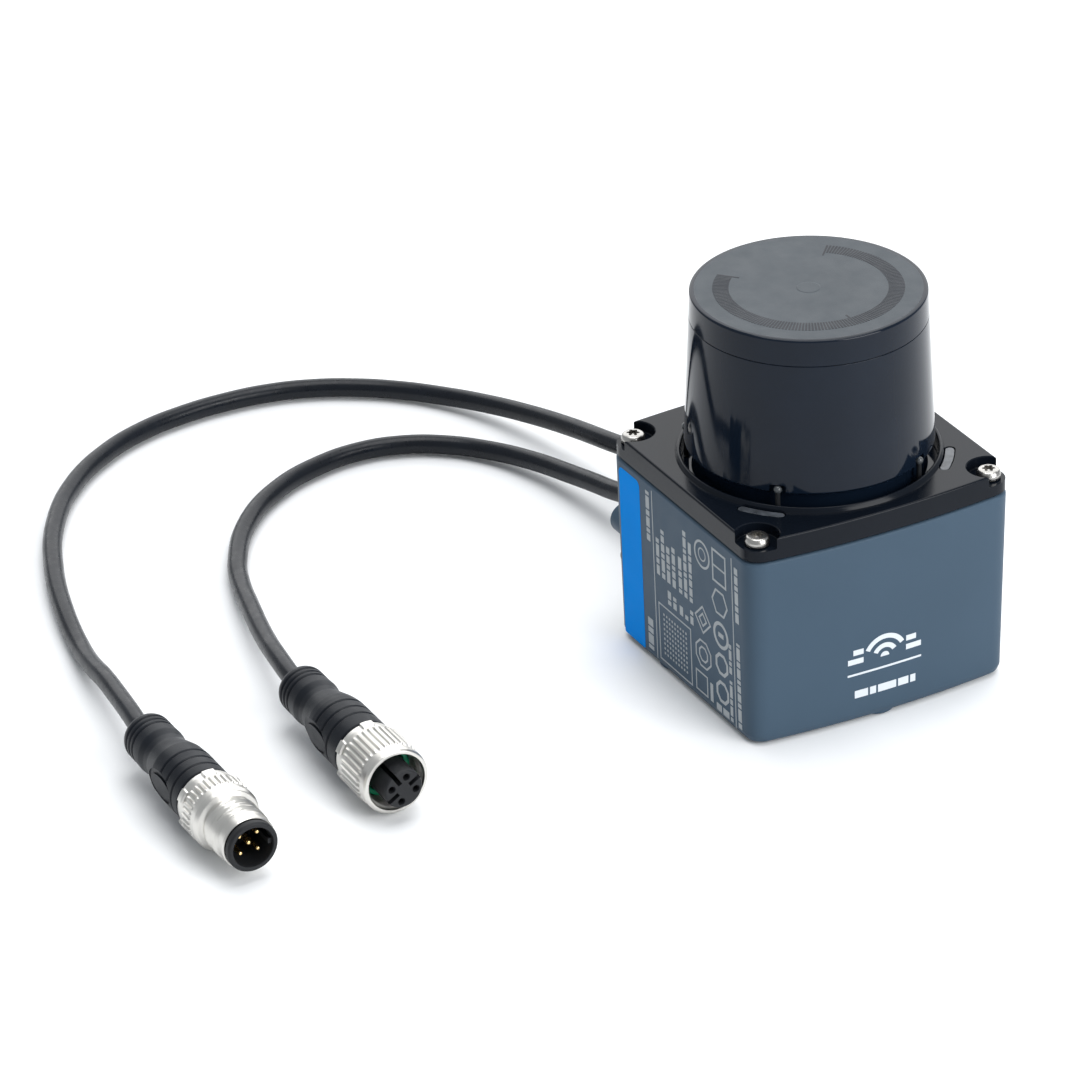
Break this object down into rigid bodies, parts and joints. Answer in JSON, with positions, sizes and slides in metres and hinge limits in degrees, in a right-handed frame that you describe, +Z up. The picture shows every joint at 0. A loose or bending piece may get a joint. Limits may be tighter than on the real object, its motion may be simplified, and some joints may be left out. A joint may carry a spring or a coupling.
{
  "type": "lidar scanner module",
  "caption": "Square painted housing with a domed black optics hood and a spinning head inside, and two short cables with round screw connectors.",
  "frame": {"origin": "centre of the mounting pad under the base, on the axis that the scanning head turns about", "axes": "+Z up along the scan axis, +X out of the scanner's crowned front face; the cables leave towards -X"},
  "size_m": [0.1889, 0.1724, 0.0823],
  "materials": {
    "housing_paint": "satin, fine texture",
    "gloss_black": "polished",
    "matte_black": "matte",
    "black_rubber": "satin",
    "steel": "turned",
    "nickel": "satin plated",
    "gold": "plated",
    "light_guide": "frosted",
    "green_rubber": "satin",
    "circuit_board": "satin",
    "aluminium": "machined",
    "copper": "enamelled",
    "optical_glass": "polished"
  },
  "bodies": {
    "base": {"bearing_outer_1": "steel", "bearing_outer_2": "steel", "bearing_tube": "aluminium", "board_standoff_1": "aluminium", "board_standoff_2": "aluminium", "board_standoff_3": "aluminium", "board_standoff_4": "aluminium", "data_cable": "black_rubber", "data_insert": "matte_black", "data_overmould": "black_rubber", "data_seal": "green_rubber", "encoder_head": "matte_black", "gland_data": "black_rubber", "gland_power": "black_rubber", "hood_cap": "gloss_black", "hood_clamp_ring": "aluminium", "hood_seal": "black_rubber", "housing": "housing_paint", "lid_frame": "gloss_black", "lid_gasket": "black_rubber", "lid_screw_1": "steel", "lid_screw_2": "steel", "lid_screw_3": "steel", "lid_screw_4": "steel", "main_board": "circuit_board", "monitor_lens_1": "optical_glass", "monitor_lens_2": "optical_glass", "monitor_lens_3": "optical_glass", "monitor_lens_4": "optical_glass", "motor_plate": "aluminium", "optics_hood": "gloss_black", "plate_screw_1": "steel", "plate_screw_2": "steel", "power_board": "circuit_board", "power_cable": "black_rubber", "power_insert": "matte_black", "power_overmould": "black_rubber", "power_pin_1": "gold", "power_pin_2": "gold", "power_pin_3": "gold", "power_pin_4": "gold", "power_pin_5": "gold", "stator_core": "copper", "status_window_left": "light_guide", "status_window_right": "light_guide", "vent_plug": "matte_black"},
    "head": {"rotor_shaft": "steel", "magnet_cup": "steel", "bearing_inner_1": "steel", "bearing_inner_2": "steel", "encoder_ring": "optical_glass", "turntable": "aluminium", "optics_block": "matte_black", "receive_lens": "optical_glass", "emitter_lens": "optical_glass", "rotor_board": "circuit_board", "counterweight": "steel"},
    "power_ring": {"power_nut": "nickel"},
    "data_ring": {"data_nut": "nickel"}
  },
  "joints": [
    {"name": "head_spin", "type": "hinge", "parent": "base", "child": "head", "pos_m": [0, 0, 0.03], "axis": [0, 0, 1], "continuous": true},
    {"name": "power_nut_spin", "type": "hinge", "parent": "base", "child": "power_ring", "pos_m": [0.005, -0.1353, 0.0075], "axis": [1, 0, 0], "continuous": true},
    {"name": "data_nut_spin", "type": "hinge", "parent": "base", "child": "data_ring", "pos_m": [0.008, -0.101, 0.0075], "axis": [1, 0, 0], "continuous": true}
  ]
}
